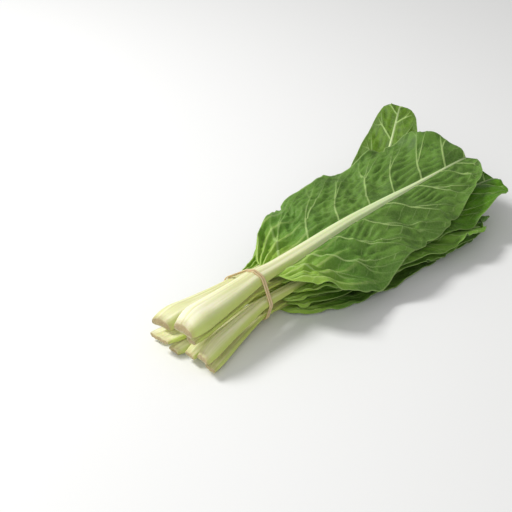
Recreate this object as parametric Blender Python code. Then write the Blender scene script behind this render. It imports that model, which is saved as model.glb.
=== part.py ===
"""A bunch of white-stalked chard, tied with a rubber band wound twice and lying on a flat surface.

Metres, +Z up. +X runs from the cut ends of the stalks to the tips of the leaves, +Y to the left of it.
Each leaf grew as one piece, so it is one solid: a stalk that thins into the rib of its blade. The leaves are
laid down one at a time, lowest first, and each one is lifted clear of those that already lie there.
"""

import math
from typing import NamedTuple

import bmesh
import bpy
import numpy as np
from mathutils import Vector
from mathutils.geometry import convex_hull_2d

# Driving dimensions.
BAND_X = 0.093  # x of the rubber band's middle, where y is 0
BAND_SLANT = 0.30  # how much nearer to the cut ends the band lies, for each metre to the left
LAMINA = 0.0011  # thickness of a blade
STALK_GAP = 0.0006  # least air between two stalks
BLADE_GAP = 0.0020  # the same between two blades, which are crinkled
BAND_WIRE = 0.0009  # radius of the rubber band's strand
BAND_GAP = 0.0006  # between the band and the stalks
STRAND_SPACING = 0.0013  # each of the band's two turns from the middle between them
BAND_ROOM = 0.004  # along the stalks, to each side of there
BAND_CLEAR = 0.004  # between the stalks there and the floor

# How finely a leaf is made.
STALK_STATIONS = (6, 3)  # from the cut end to the band, and on to the blade
BLADE_STATIONS = 17
STATION_CROWDING = 1.35  # over 1 puts a blade's stations closer together towards its tip
WING_COLUMNS = 4  # from the rib to a margin
RIB_COLUMNS = (-1.0, -0.6, 0.0, 0.6, 1.0)  # shares of the rib's half-width
BAND_ANGLES = 32

# What every leaf has in common.
BLADE_FULLNESS = (0.62, 0.40)  # the power of the outline up to its peak, left and right
STALK_NECK = 0.5  # where the stalk is half narrowed, as a share of the way to the band
STALK_ROUNDNESS = 0.9  # under 1 leaves a stalk some thickness at its sides
RIB_TAPER = 0.9  # the power by which the rib narrows along the blade
RIB_TIP = (0.0009, 0.0003)  # its half-width and thickness at the tip
RIB_START = 0.44  # its thickness where the blade begins, as a share of the stalk's at the cut end
RIB_ABOVE = 0.8  # the share of the rib that stands out of the blade's back
RISE_OVER = (0.0, 0.4)  # where the rib rises, as shares of the blade's length
LIFT_OVER = (0.62, 1.0)  # where the tip turns up
LIFT_POWER = 1.3
DROOP_OVER = (0.0, 0.2)  # where the margins come to hang fully
DROOP_EASES_OVER = (0.6, 1.0)  # and where the stiffer end of the blade holds them up again
DROOP_EASES = 0.5  # by how much of it
DROOP_POWER = 1.4  # over 1 keeps a blade level near its rib
RIPPLE_OVER = (0.0, 0.2)  # where the waves come to their full height
RIPPLE_POWER = 1.5
RIPPLE_LENGTH = 0.072
RIPPLE_SIDES = 1.9  # radians that the left margin's waves are ahead of the rib, and the right's behind
RIPPLE_LEAVES = 40  # radians a metre of the tip's y, so that no two leaves wave together
GAP_WIDENS_OVER = (0.0, 0.25)  # where the air below changes from a stalk's to a blade's
STALK_DROP = 0.015  # how far the cut ends hang below the band

# The map of how high the leaves already laid down reach.
CELL = 0.001
MAP_LOW = Vector((-0.04, -0.15))
MAP_CELLS = (520, 340)
SAMPLES = 24  # places looked at between two rows or columns of a leaf

# How long a leaf takes to settle on what lies under it.
ROUNDS = 60
STEPS = 3
NEIGHBOURS = (0.3, 0.2)  # the pull of the points next to one along the leaf, and across it
SAG = 0.00004  # how far a free point sinks at each step
FLAT_ON_FLOOR = 0.0001  # what comes this close to the floor lies flat on it

# Where the rubber band's two turns cross, as an angle round the stalks from +Y, and over how much of it.
CROSSING = math.radians(60)
CROSSING_WIDTH = math.radians(30)

LEAF_COLOUR = (0.10, 0.28, 0.05, 1)
LEAF_ROUGHNESS = 0.5
RUBBER_COLOUR = (0.66, 0.47, 0.26, 1)
RUBBER_ROUGHNESS = 0.6


class Leaf(NamedTuple):
    name: str
    cut: tuple  # x and y of the cut end's middle
    band_y: float  # y of the stalk's middle in the band
    blade_from: float  # where the blade begins, as a distance past the band
    tip: tuple  # x and y of the tip
    widths: tuple  # the stalk's half-width at the cut end, in the band and where the blade begins
    thickness: float  # of the stalk at the cut end
    blade: tuple  # greatest half-widths of the blade, left and right
    widest: tuple  # where they are, as shares of the blade's length
    blunt: tuple  # the power of the outline past there, left and right: the smaller, the blunter the tip
    droop: tuple  # how far the left and the right margin hang below the rib
    rise: float  # how far the rib rises past the band
    lift: float  # how far the tip turns up
    ripple: float  # height of the waves along the margins
    back: int  # 1 with the ribbed back up, -1 with it down


LEAVES = (
    Leaf("bottom_leaf", (0.004, 0.008), 0.000, 0.032, (0.408, 0.016), (0.010, 0.0060, 0.006), 0.0080,
         (0.076, 0.054), (0.50, 0.50), (0.36, 0.36), (0.0, 0.0), 0.0, 0.0, 0.0, 1),
    Leaf("lower_right_leaf", (0.010, -0.040), -0.0135, 0.036, (0.380, -0.036), (0.010, 0.0056, 0.005), 0.0085,
         (0.054, 0.038), (0.50, 0.45), (0.36, 0.36), (0.004, 0.004), 0.0, 0.0, 0.003, -1),
    Leaf("lower_left_leaf", (0.002, 0.034), 0.0135, 0.026, (0.374, 0.086), (0.010, 0.0056, 0.005), 0.0085,
         (0.054, 0.054), (0.48, 0.50), (0.36, 0.36), (0.006, 0.004), 0.0, 0.004, 0.004, -1),
    Leaf("inner_right_leaf", (0.006, -0.014), -0.0050, 0.030, (0.410, -0.030), (0.010, 0.0056, 0.006), 0.0080,
         (0.056, 0.044), (0.52, 0.52), (0.36, 0.36), (0.004, 0.010), 0.003, 0.002, 0.003, 1),
    Leaf("inner_left_leaf", (-0.003, 0.015), 0.0070, 0.028, (0.404, 0.056), (0.011, 0.0056, 0.006), 0.0085,
         (0.060, 0.056), (0.50, 0.50), (0.36, 0.36), (0.008, 0.008), 0.003, 0.002, 0.004, -1),
    Leaf("right_leaf", (0.005, -0.035), -0.0165, 0.040, (0.380, -0.052), (0.0115, 0.0064, 0.0057), 0.0125,
         (0.048, 0.036), (0.48, 0.45), (0.36, 0.36), (0.002, 0.014), 0.003, -0.004, 0.004, 1),
    Leaf("long_leaf", (0.004, -0.020), -0.0060, 0.030, (0.446, -0.014), (0.010, 0.0060, 0.006), 0.0085,
         (0.056, 0.050), (0.62, 0.62), (0.24, 0.26), (0.006, 0.012), 0.004, 0.016, 0.005, -1),
    Leaf("left_leaf", (0.003, 0.0255), 0.0175, 0.012, (0.441, 0.129), (0.0160, 0.0082, 0.0062), 0.0190,
         (0.045, 0.044), (0.42, 0.42), (0.30, 0.28), (0.006, 0.010), 0.004, 0.059, 0.006, 1),
    Leaf("top_leaf", (0.000, -0.0135), -0.0040, 0.024, (0.436, 0.020), (0.0180, 0.0108, 0.0088), 0.0210,
         (0.080, 0.070), (0.44, 0.34), (0.17, 0.30), (0.001, 0.044), 0.005, 0.002, 0.004, 1),
)


def smooth(low, high, x):
    """0 below low, 1 above high, and an even rise between them."""
    share = np.clip((x - low) / (high - low), 0, 1)
    return share * share * (3 - 2 * share)


class Shape:
    """One leaf's grid of stations (rows, along its length) and columns (right margin to left margin)."""

    def __init__(self, leaf):
        self.leaf = leaf
        self.cut, tip = Vector(leaf.cut), Vector(leaf.tip)
        self.length = (tip - self.cut).length
        self.along = (tip - self.cut).normalized()
        self.across = Vector((-self.along.y, self.along.x))
        band = Vector((BAND_X, leaf.band_y)) - self.cut
        self.band_at = band.dot(self.along)
        self.blade_at = self.band_at + leaf.blade_from
        self.bow = band.dot(self.across) / (self.band_at * (self.length - self.band_at))
        self.stations = self.station_places()
        self.blade_row = sum(STALK_STATIONS)
        self.place_columns()

    def station_places(self):
        """Distances from the cut end, with the blade's stations closing up towards its tip."""
        to_band = np.linspace(0, self.band_at, STALK_STATIONS[0] + 1)
        to_blade = np.linspace(self.band_at, self.blade_at, STALK_STATIONS[1] + 1)[1:]
        shares = 1 - (1 - np.arange(1, BLADE_STATIONS + 1) / BLADE_STATIONS) ** STATION_CROWDING
        blade = self.blade_at + shares * (self.length - self.blade_at)
        return np.concatenate([to_band, to_blade, blade])

    def place_columns(self):
        leaf, s = self.leaf, self.stations
        self.t = np.clip((s - self.blade_at) / (self.length - self.blade_at), 0, 1)
        stalk = np.interp(s, [0, STALK_NECK * self.band_at, self.band_at, self.blade_at],
                          [leaf.widths[0], (leaf.widths[0] + leaf.widths[1]) / 2, *leaf.widths[1:]])
        rib = (stalk * (1 - self.t) ** RIB_TAPER + RIB_TIP[0] * self.t)[:, None]
        shares = np.arange(1, WING_COLUMNS + 1) / WING_COLUMNS
        # Each wing as a share of the leaf's greatest half-width on that side.
        left, right = (np.maximum(blade_outline(self.t, *how)[:, None] - rib / half, 0)
                       for half, *how in zip(leaf.blade, leaf.widest, BLADE_FULLNESS, leaf.blunt))
        self.spread = np.hstack([-right * shares[::-1], np.zeros_like(rib * RIB_COLUMNS), left * shares])
        self.middle = slice(WING_COLUMNS, WING_COLUMNS + len(RIB_COLUMNS))
        sides = [-1.0] * WING_COLUMNS + list(RIB_COLUMNS) + [1.0] * WING_COLUMNS
        offsets = rib * np.array(sides) + self.spread * np.where(self.spread > 0, *leaf.blade)
        across = offsets + (self.bow * s * (self.length - s))[:, None]
        self.x = self.cut.x + s[:, None] * self.along.x + across * self.across.x
        self.y = self.cut.y + s[:, None] * self.along.y + across * self.across.y

    def bump(self):
        """How much thicker than a blade the leaf is at each column: the stalk and rib."""
        at_blade = self.blade_at / self.length
        share = self.stations / self.length
        thickness = self.leaf.thickness
        height = np.interp(share, [0, at_blade, 1], [thickness, RIB_START * thickness, RIB_TIP[1]])
        past_band = smooth(self.band_at, self.blade_at, self.stations)
        roundness = STALK_ROUNDNESS + (1 - STALK_ROUNDNESS) * past_band
        aside = roundness[:, None] * np.array(RIB_COLUMNS)
        bump = np.zeros_like(self.x)
        bump[:, self.middle] = height[:, None] * np.sqrt(1 - aside**2)
        return bump

    def free_form(self):
        """The height of each point of the leaf as it would grow, before anything holds it up."""
        leaf, v, t = self.leaf, self.spread, self.t[:, None]
        droop = np.where(v > 0, *leaf.droop)
        form = leaf.rise * smooth(*RISE_OVER, t) + leaf.lift * smooth(*LIFT_OVER, t) ** LIFT_POWER
        hang = smooth(*DROOP_OVER, t) * (1 - DROOP_EASES * smooth(*DROOP_EASES_OVER, t))
        form = form - hang * droop * np.abs(v) ** DROOP_POWER
        form = form - STALK_DROP * np.maximum(1 - self.stations / self.band_at, 0)[:, None]
        turn = 2 * math.pi * self.stations[:, None] / RIPPLE_LENGTH
        turn = turn + RIPPLE_SIDES * np.sign(v) + RIPPLE_LEAVES * leaf.tip[1]
        return form + leaf.ripple * smooth(*RIPPLE_OVER, t) * np.abs(v) ** RIPPLE_POWER * np.sin(turn)

    def gap(self):
        """The least air under each point."""
        widening = smooth(*GAP_WIDENS_OVER, self.t)[:, None] * np.ones_like(self.x)
        return STALK_GAP + (BLADE_GAP - STALK_GAP) * widening

    def tied(self, values, how):
        """values with one value across the rib, and across the whole leaf where it is only a stalk."""
        values = values.copy()
        values[:, self.middle] = how(values[:, self.middle], axis=1, keepdims=True)
        for rows in (slice(0, self.blade_row + 1), slice(-1, None)):
            values[rows] = values[rows, self.middle][:, :1]
        return values


def blade_outline(t, widest, base, end):
    """A blade's half-width along it, as a share of the greatest: a sine that peaks there, to two powers."""
    return np.sin(math.pi * t ** (math.log(0.5) / math.log(widest))) ** np.where(t < widest, base, end)


class HeightMap:
    """How high the leaves laid down so far reach over each cell of the floor."""

    def __init__(self):
        self.top = np.zeros(MAP_CELLS)
        # The crinkled blades bear the stalks up off the floor where they are tied.
        under_band = [round((BAND_X + side * BAND_ROOM - MAP_LOW.x) / CELL) for side in (-1, 1)]
        self.top[slice(*under_band)] = BAND_CLEAR

    def cells(self, x, y):
        return (np.round((x - MAP_LOW.x) / CELL).astype(int), np.round((y - MAP_LOW.y) / CELL).astype(int))

    def add(self, shape, upper):
        """Raises the map to a leaf's upper surface."""
        np.maximum.at(self.top, self.cells(fill_in(shape.x), fill_in(shape.y)), fill_in(upper))

    def shortfall(self, shape, lower):
        """How far each point of a leaf's lower surface must rise for none of its facets to come too low."""
        highest = self.top
        for axis in (0, 1):
            highest = np.max([np.roll(highest, n, axis) for n in (-1, 0, 1)], axis=0)
        under = highest[self.cells(fill_in(shape.x), fill_in(shape.y))]
        # A leaf lies on the floor itself with no gap.
        needed = under + np.where(under > 0, fill_in(shape.gap()), 0) - fill_in(lower)
        rows, columns = lower.shape
        short = np.zeros((rows + 1, columns + 1))
        facets = needed.reshape(rows - 1, SAMPLES, columns - 1, SAMPLES)
        short[1:-1, 1:-1] = np.maximum(facets.max(axis=(1, 3)), 0)
        return np.maximum.reduce([short[:-1, :-1], short[1:, :-1], short[:-1, 1:], short[1:, 1:]])


def fill_in(values):
    """values at SAMPLES places each way between a grid's rows and columns, over each square's triangles."""
    place = np.arange(SAMPLES) / (SAMPLES - 1)
    a, b = place[None, :, None, None], place[None, None, None, :]
    first, last = values[:-1, None, :-1, None], values[1:, None, 1:, None]
    turn = np.where(a >= b, values[1:, None, :-1, None], values[:-1, None, 1:, None])
    filled = first + np.maximum(a, b) * (turn - first) + np.minimum(a, b) * (last - turn)
    return filled.reshape((values.shape[0] - 1) * SAMPLES, -1)


def lay_down(shape, heights):
    """Lifts a leaf from its free form onto what lies under it. Returns its lower and upper surfaces."""
    bump, form = shape.bump(), shape.free_form()
    below = LAMINA / 2 + bump * (1 - RIB_ABOVE if shape.leaf.back > 0 else RIB_ABOVE)
    above = LAMINA + bump - below
    lift = np.zeros_like(form)
    along, across = NEIGHBOURS
    for settling in range(ROUNDS):
        lift = shape.tied(lift + heights.shortfall(shape, form + lift - below), np.max)
        for _ in range(STEPS if settling < ROUNDS - 1 else 0):
            ahead = np.vstack([lift[1:], lift[-1:]])
            behind = np.vstack([lift[:1], lift[:-1]])
            right = np.hstack([lift[:, :1], lift[:, :-1]])
            left = np.hstack([lift[:, 1:], lift[:, -1:]])
            lift = shape.tied(along * (ahead + behind) + across * (right + left) - SAG, np.mean)
    lower = form + lift - below
    return np.where(lower < FLAT_ON_FLOOR, 0, lower), form + lift + above


def leaf_mesh(shape, lower, upper):
    """A closed loft: an upper and a lower skin, joined along the margins and capped at both ends."""
    mesh = bmesh.new()
    last_row, last_column = lower.shape[0] - 1, lower.shape[1] - 1
    made = {}

    def vertex(skin, i, j):
        if i <= shape.blade_row or i == last_row:
            j = min(max(j, shape.middle.start), shape.middle.stop - 1)
        key = (skin is upper, i, j)
        if key not in made:
            made[key] = mesh.verts.new((shape.x[i, j], shape.y[i, j], skin[i, j]))
        return made[key]

    def face(corners):
        corners = list(dict.fromkeys(corners))
        if len(corners) > 2:
            mesh.faces.new(corners)

    for i in range(last_row):
        for j in range(last_column):
            for skin in (upper, lower):
                first, last = vertex(skin, i, j), vertex(skin, i + 1, j + 1)
                face([first, vertex(skin, i + 1, j), last])
                face([first, last, vertex(skin, i, j + 1)])
        for j in (0, last_column):
            face([vertex(upper, i, j), vertex(upper, i + 1, j), vertex(lower, i + 1, j), vertex(lower, i, j)])
    for i in (0, last_row):
        columns = range(last_column + 1)
        face([vertex(upper, i, j) for j in columns] + [vertex(lower, i, j) for j in reversed(columns)])
    bmesh.ops.recalc_face_normals(mesh, faces=mesh.faces)
    return mesh


def add_object(name, data, material, collection, parent):
    made = bpy.data.objects.new(name, data)
    data.materials.append(material)
    collection.objects.link(made)
    made.parent = parent
    return made


def add_leaf(leaf, heights, materials, collection, parent):
    """Lays one leaf on the pile. Returns the y and z of its stalk's outline in the band."""
    shape = Shape(leaf)
    lower, upper = lay_down(shape, heights)
    heights.add(shape, upper)
    mesh = leaf_mesh(shape, lower, upper)
    data = bpy.data.meshes.new(leaf.name)
    mesh.to_mesh(data)
    mesh.free()
    data.shade_smooth()
    add_object(leaf.name, data, materials["leaf"], collection, parent)
    return stalk_outline(shape, lower, upper)


def stalk_outline(shape, lower, upper):
    """The y and z of points round a stalk, at both edges of the rubber band."""
    reach = STRAND_SPACING + BAND_WIRE
    return [(np.interp(x, along, shape.y[:, j]), np.interp(x, along, skin[:, j]))
            for j, along in list(enumerate((shape.x + BAND_SLANT * shape.y).T))[shape.middle]
            for skin in (lower, upper) for x in (BAND_X - reach, BAND_X + reach)]


def band_route(stalks):
    """The centreline of a rubber band pulled tight round the stalks, wound twice and crossing itself once."""
    hull = [Vector(stalks[i]) for i in convex_hull_2d(stalks)]
    route = []
    for turn in (1, -1):
        for step in range(BAND_ANGLES):
            angle = 2 * math.pi * step / BAND_ANGLES
            normal = Vector((math.cos(angle), math.sin(angle)))
            corner = max(hull, key=normal.dot)
            passed = float(smooth(CROSSING - CROSSING_WIDTH, CROSSING + CROSSING_WIDTH, angle))
            over = 0 if turn > 0 else math.exp(-((angle - CROSSING) / CROSSING_WIDTH) ** 2)
            out = BAND_WIRE + BAND_GAP + over * (2 * BAND_WIRE + BAND_GAP)
            y, z = corner + normal * out
            route.append((BAND_X - BAND_SLANT * y + turn * (1 - 2 * passed) * STRAND_SPACING, y, z))
    return route


def add_band(stalks, materials, collection, parent):
    curve = bpy.data.curves.new("rubber_band", "CURVE")
    curve.dimensions = "3D"
    curve.bevel_depth = BAND_WIRE
    curve.bevel_resolution = 1
    route = band_route(stalks)
    spline = curve.splines.new("POLY")
    spline.points.add(len(route) - 1)
    for point, place in zip(spline.points, route):
        point.co = (*place, 1)
    spline.use_cyclic_u = True
    add_object("rubber_band", curve, materials["rubber"], collection, parent)


def make_material(name, colour, roughness):
    material = bpy.data.materials.new(name)
    material.use_nodes = True
    shader = material.node_tree.nodes["Principled BSDF"]
    shader.inputs["Base Color"].default_value = colour
    shader.inputs["Roughness"].default_value = roughness
    shader.inputs["Metallic"].default_value = 0.0
    return material


def centre_on_floor(parent, collection):
    """Moves the bunch so that the origin is under the middle of its box."""
    bpy.context.view_layer.update()
    graph = bpy.context.evaluated_depsgraph_get()
    parts = [part.evaluated_get(graph) for part in collection.objects if part != parent]
    points = np.array([vertex.co for part in parts for vertex in part.to_mesh().vertices])
    low, high = points.min(axis=0), points.max(axis=0)
    parent.location = (-(low[0] + high[0]) / 2, -(low[1] + high[1]) / 2, -low[2])


def main():
    for old in list(bpy.data.objects):
        bpy.data.objects.remove(old)
    collection = bpy.data.collections.new("chard_bunch")
    bpy.context.scene.collection.children.link(collection)
    bunch = bpy.data.objects.new("bunch", None)
    collection.objects.link(bunch)
    materials = {
        "leaf": make_material("leaf", LEAF_COLOUR, LEAF_ROUGHNESS),
        "rubber": make_material("rubber", RUBBER_COLOUR, RUBBER_ROUGHNESS),
    }
    heights = HeightMap()
    stalks = []
    for leaf in LEAVES:
        stalks += add_leaf(leaf, heights, materials, collection, bunch)
    add_band(stalks, materials, collection, bunch)
    centre_on_floor(bunch, collection)


main()
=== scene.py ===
"""The looks of a bunch of white-stalked chard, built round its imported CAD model.

Metres, +Z up, in the model's own frame: +X runs from the cut ends of the stalks to the tips of the leaves.
A CAD leaf is a coarse grid of stations along its length. This script reads that grid back, fits a fine one
to it, and gives it its rib, veins, blisters and ruffled margins. The relief is held within the air above
and below each leaf, so that no leaf cuts through the next.
"""

import math
from typing import NamedTuple

import bpy
import numpy as np
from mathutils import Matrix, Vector
from mathutils.geometry import convex_hull_2d


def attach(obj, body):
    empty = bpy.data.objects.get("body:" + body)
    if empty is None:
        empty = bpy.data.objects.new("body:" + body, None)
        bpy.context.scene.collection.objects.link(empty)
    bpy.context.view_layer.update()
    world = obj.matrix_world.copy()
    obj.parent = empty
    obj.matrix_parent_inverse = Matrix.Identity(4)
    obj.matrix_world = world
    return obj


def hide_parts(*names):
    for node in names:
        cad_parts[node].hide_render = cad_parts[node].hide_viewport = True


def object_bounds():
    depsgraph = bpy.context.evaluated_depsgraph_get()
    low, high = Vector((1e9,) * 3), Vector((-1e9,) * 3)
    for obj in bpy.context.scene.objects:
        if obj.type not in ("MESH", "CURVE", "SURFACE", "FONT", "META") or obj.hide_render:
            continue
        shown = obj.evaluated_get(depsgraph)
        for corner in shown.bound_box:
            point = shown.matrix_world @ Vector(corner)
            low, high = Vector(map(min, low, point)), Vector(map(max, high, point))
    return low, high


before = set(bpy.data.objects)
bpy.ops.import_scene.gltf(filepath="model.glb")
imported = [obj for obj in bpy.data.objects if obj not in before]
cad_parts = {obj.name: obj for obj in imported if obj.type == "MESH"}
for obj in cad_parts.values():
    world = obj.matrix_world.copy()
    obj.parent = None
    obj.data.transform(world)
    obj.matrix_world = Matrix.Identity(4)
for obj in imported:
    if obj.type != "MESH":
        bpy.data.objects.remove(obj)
CAD_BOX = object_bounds()

# How the CAD leaves are gridded.
CAD_WING = 4  # columns from the rib to a margin
CAD_RIB = 5  # columns across the rib
CAD_MIDDLE = CAD_WING + 2  # the column along the middle of the rib
CAD_STALK_ROWS = 10  # from the cut end to where the blade begins
CAD_FULLNESS = (0.38, 0.22)  # powers that draw out an outline's round ends, before its peak and past it
CAD_RIB_ABOVE = 0.8  # the share of the rib that stands out of the blade's back
LEAST_RIB = 0.0002
END_DEPTH = 0.010  # a leaf's first row lies within this of its lowest x
TIP_DEPTH = 0.0005  # and its last row within this of the point farthest from there
ROW_APART = 0.0005
COLUMN_APART = 0.00005

# The fine grid.
STALK_STEP = 0.0025
END_CROWDING = 0.6  # over 0 puts rows closer together at both ends of a blade
RIB_STEPS = 18
CAP_LAYERS = 4

# Noise. Its seed is the leaf's own and this much more, counted on for each further layer.
LATTICE = 128  # values each way, before it repeats
LATTICE_START = 40  # where in the lattice the model's origin is
HOLLOW_LATTICE = 64
HOLLOW_SPREAD = (0.1, 0.9)  # where in its square a hollow may lie
SIDES_APART = 0.5  # so that the noise of a leaf's two sides differs
SEED_ROUGH, SEED_CRUMPLE, SEED_RUFFLES, SEED_CUT_END = 1, 2, 7, 9
SEED_FRILL, SEED_PLEATS, SEED_HOLLOWS, SEEDS_STRAY = 17, 18, 20, (21, 22)
SEED_UNEVEN, SEED_FORKS, SEED_RUNGS, SEED_FOLDED, SEED_MARGIN, SEED_CURL = 30, 31, 41, 42, 50, 60

# Sections.
BLADE = 0.0005  # a real blade's thickness
STALK_EDGE = 0.0003  # added above and below a stalk's sides
STALK_OVER = 0.25  # it turns from a stalk into a rib by this share of the blade
STALK_POWER = 2.15  # of the superellipse that a stalk's section follows
STALK_HOLLOW = 0.8  # how far the stalk's inner side is hollowed
RIDGES = ((2.6, 0.00045), (9.0, 0.00007))  # waves across a stalk, and their height
RIDGES_OVER = 0.8  # they fade out by this share of the blade
# Shares of the blade, and of the CAD rib's size.
RIB_THINS = ((0.0, 0.42, 0.60, 0.72, 0.80, 0.88, 1.0), (1.0, 0.95, 0.85, 0.62, 0.38, 0.25, 0.20))

# Veins: each leaves the rib at a slant and bends on towards the tip.
# Shares of the blade, and how far apart they leave the rib there.
VEIN_SPACING = ((0.0, 0.2, 0.5, 0.8, 1.0), (0.026, 0.042, 0.052, 0.040, 0.024))
VEIN_COUNT_OVER = (-0.5, 1.0, 600)  # counted from before the blade, at so many places
VEIN_UNEVEN = (0.055, 0.22)  # size, and share of the spacing
VEIN_SLANT = 0.65  # forward for each metre sideways, at the rib
VEIN_BEND = 0.60  # how much more at the margin
VEIN_WIDTH = (0.0012, 0.0006)  # at the rib and at the margin
VEIN_HEIGHT = 0.0010
VEIN_FADES, VEIN_FADES_OVER = 0.75, (0.6, 1.0)  # share of the height, and of the half-width
VEIN_FROM = (0.0015, 0.03)  # whole at this distance from the rib and share of the blade
VEIN_WOBBLE = (0.060, 0.10)  # size, and share of the spacing
VEIN_WOBBLE_FROM = 0.050  # whole at this distance from the rib
RIGHT_VEINS_AHEAD = 0.45  # share of the spacing by which their count is ahead
# Each side vein has two more arms. They leave it at this share of the half-width, and stray from it by
# this many spacings for each half-width after that.
FORK_AT, FORK_STRAY = 0.45, 0.85
TWIG_AT, TWIG_STRAY = 0.64, 1.0
FORK_UNEVEN = (0.050, 0.18)  # size, and share of the way to the margin
BRANCH_SPACING = 0.0095  # between the finest veins, which run from side vein to side vein
BRANCH_SLANT = 1.3  # how steeply they bend out in between, in spacings of both kinds

# The blade between the veins. Where along a blade something is, is a share of its length.
LOFT = 0.0022  # how far the crinkled blade stands above the smooth one
BULGE = 0.0036  # of each field between two side veins
HOLLOW = 0.0100  # size of the hollows in the blade's back, away from the rib
HOLLOWS_BETWEEN = 2.7  # of them from one side vein to the next
HOLLOW_DEPTH = 0.0060  # where its crest is a whole hollow from its middle
HOLLOW_ROUGH = (0.030, 0.65, 0.8)  # size, and the mean and range of the share of the depth
HOLLOWS_STRAY = (0.025, 0.9)  # size, and how far the hollows are from even rows
CRUMPLE = ((0.034, 0.0024), (0.013, 0.0020))  # size and height of the blade's dents
RUNG = 0.0080  # between the folds that run from side vein to side vein
RUNG_HEIGHT = 0.0028
RUNG_SHARPNESS = 1.5
RUNG_WANDER = (0.035, 1.2)  # size, and how many folds to the side
RUNG_PATCH = 0.050  # size of the places with and without them
RUNG_PATCH_RISE = (-0.2, 0.5)  # their noise, where the folds start and where they are whole
SHADE_CREST = 0.0016  # painted shade: a fold this high gets none, and the bottom of a hollow is painted darkest
RELIEF_FROM = (0.008, 0.06)  # whole at this distance from the rib and share of the blade
CALM_MARGIN, CALM_MARGIN_OVER = 0.6, (0.65, 1.0)  # how much less relief there is at a margin
CALM_END, CALM_END_OVER = 0.4, (0.70, 1.0)  # and at the tip
PLEATS = 3.5  # folds between the rib and a margin at the base of the blade
PLEAT_HEIGHT = 0.0026
PLEAT_WANDER = (0.040, 0.12)  # size, and share of the half-width
PLEATS_OVER = (0.10, 0.38)  # where they fade out
PLEATS_FROM = 0.3  # whole at this share of the half-width

# Margins.
RUFFLES = ((0.030, 1.0), (0.013, 0.40), (0.007, 0.16))  # length, and share of the leaf's ruffle
RUFFLES_UP = 0.35  # how much more they rise than fall
RUFFLES_FROM = 0.04  # whole from here on
RUFFLE_SLANT = 0.3  # how fast the waves change towards the rib
FRILL = 0.012  # length of the waves at the base of the blade
FRILL_OVER = (0.08, 0.35)  # where they fade out
ARCH_OVER = (0.84, 0.99)  # where the left half of an arched end rises
MARGIN_WANDER = ((0.045, 0.045), (0.017, 0.028), (0.008, 0.010))  # size, and share of the half-width
TEARS = 3  # on each margin
TEARS_OVER = (0.25, 0.95)
TEAR_WIDTH = (0.003, 0.007)  # half of it, along the margin
TEAR_DEPTH = (0.04, 0.10)  # shares of the half-width
CURL = 0.010  # width of the strip along a margin that rolls over in places
CURL_MOST = 0.4  # and the most that it is of the half-width
CURL_LENGTH = 0.050  # size of those places
CURL_RISE = (0.1, 0.6)  # their noise, where it starts to roll and where it rolls fully
CURL_STARTS, CURL_ENDS = (0.04, 0.12), (0.93, 1.0)
CURL_TURN = math.radians(210)
CURL_LEAST = 0.01  # radians, which is as good as flat
CURL_ROOM = (0.004, 0.010)  # it needs this much air above it to start, and to roll fully

# Cut ends, which are a little shrunk and rounded off.
END_TAPER = 0.022
END_SHRINK = 0.32
END_FLATTENS = 1.5  # times as much as it narrows
CUT_ROUGH, CUT_ROUGH_SIZE, CUT_SINKS = 0.0007, 0.004, 0.0003

# The pile.
CELL = 0.001
MAP_MARGIN = 0.05
CLEARANCE = 0.0003
FREE = 0.012  # the most that relief may move a blade, where nothing is near
TIGHT = 0.0002  # and the most where the next leaf touches it
EASING = 6  # cells over which limits and lifts are evened out
EASING_TIMES = 3
FILL = 3  # samples each way between two points of a fine grid

# The rubber band.
BAND_WIDTH = 0.00095  # half the strand's width
BAND_DEPTH = 0.0006  # half its thickness
BAND_SQUARENESS = 0.7  # under 1 for a section that is more of an oblong
BAND_SIDES = 12
BAND_POINTS = 420
BAND_ANGLES = 180
BAND_GAP = 0.0001  # between it and the stalks
BAND_SLANT = 0.30  # how much nearer to the cut ends it lies, for each metre to the left
BAND_SPREAD = 0.9  # how much farther apart the turns lie where they are farthest
BAND_SPREAD_AT = math.radians(-25)
BAND_SMOOTHING = 3
BAND_CROSSING = math.radians(62)
BAND_CROSSING_WIDTH = math.radians(34)
BAND_OVER = 2.1  # how high one turn passes over the other, in half-thicknesses

# Colours, some of them pairs that a surface varies between.
CREAM = (0.76, 0.76, 0.42, 1), (0.93, 0.90, 0.68, 1)
SALLOW = (0.52, 0.56, 0.16, 1), (0.74, 0.73, 0.34, 1)
# The next colour is the beige-grey of the painted shade down the middle of a stalk.
GROOVE_SHADE = (0.56, 0.52, 0.28, 1)
# The next colour is the stalks' yellow-green flanks, partly their own colour and partly painted shade.
FLANK_AND_SHADE = (0.50, 0.60, 0.12, 1)
FAR_RIB = (0.64, 0.78, 0.42, 1)
PALE = (0.42, 0.58, 0.20, 1)
PLEAT = (0.40, 0.54, 0.15, 1)
BLADE_BASE = (0.32, 0.50, 0.06, 1)
DRY = (0.45, 0.36, 0.16, 1)
CUT_END = (0.62, 0.52, 0.28, 1), (0.36, 0.27, 0.13, 1)
CUT_DOTS = (0.30, 0.21, 0.09, 1)
RUBBER = (0.58, 0.42, 0.20, 1), (0.76, 0.62, 0.38, 1)
FLOOR = (0.86, 0.86, 0.85, 1)
DULLER = (1.75, 1.35, 2.2)  # the back of a blade against its face, in red, green and blue

# Features of the materials' noise and cells to a metre.
PATCHES, GRAIN, NET, DOTS = 22, 330, 270, 600

# Light.
SKY = 0.42
KEY = (-0.65, 0.98, 1.35), 0.45, 24  # place, size and power
FILL_LIGHT = (-1.4, -1.0, 1.2), 1.2, 9
FLOOR_REACH = 6
FLOOR_DROP = 0.0002

# The photograph's view.
AZIMUTH = math.radians(-41)
ELEVATION = math.radians(32)
LENS = 79.66
SENSOR = 36.0
AIM = Vector((-0.1133, -0.0304, 0.0665))
DISTANCE = 1.10


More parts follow.
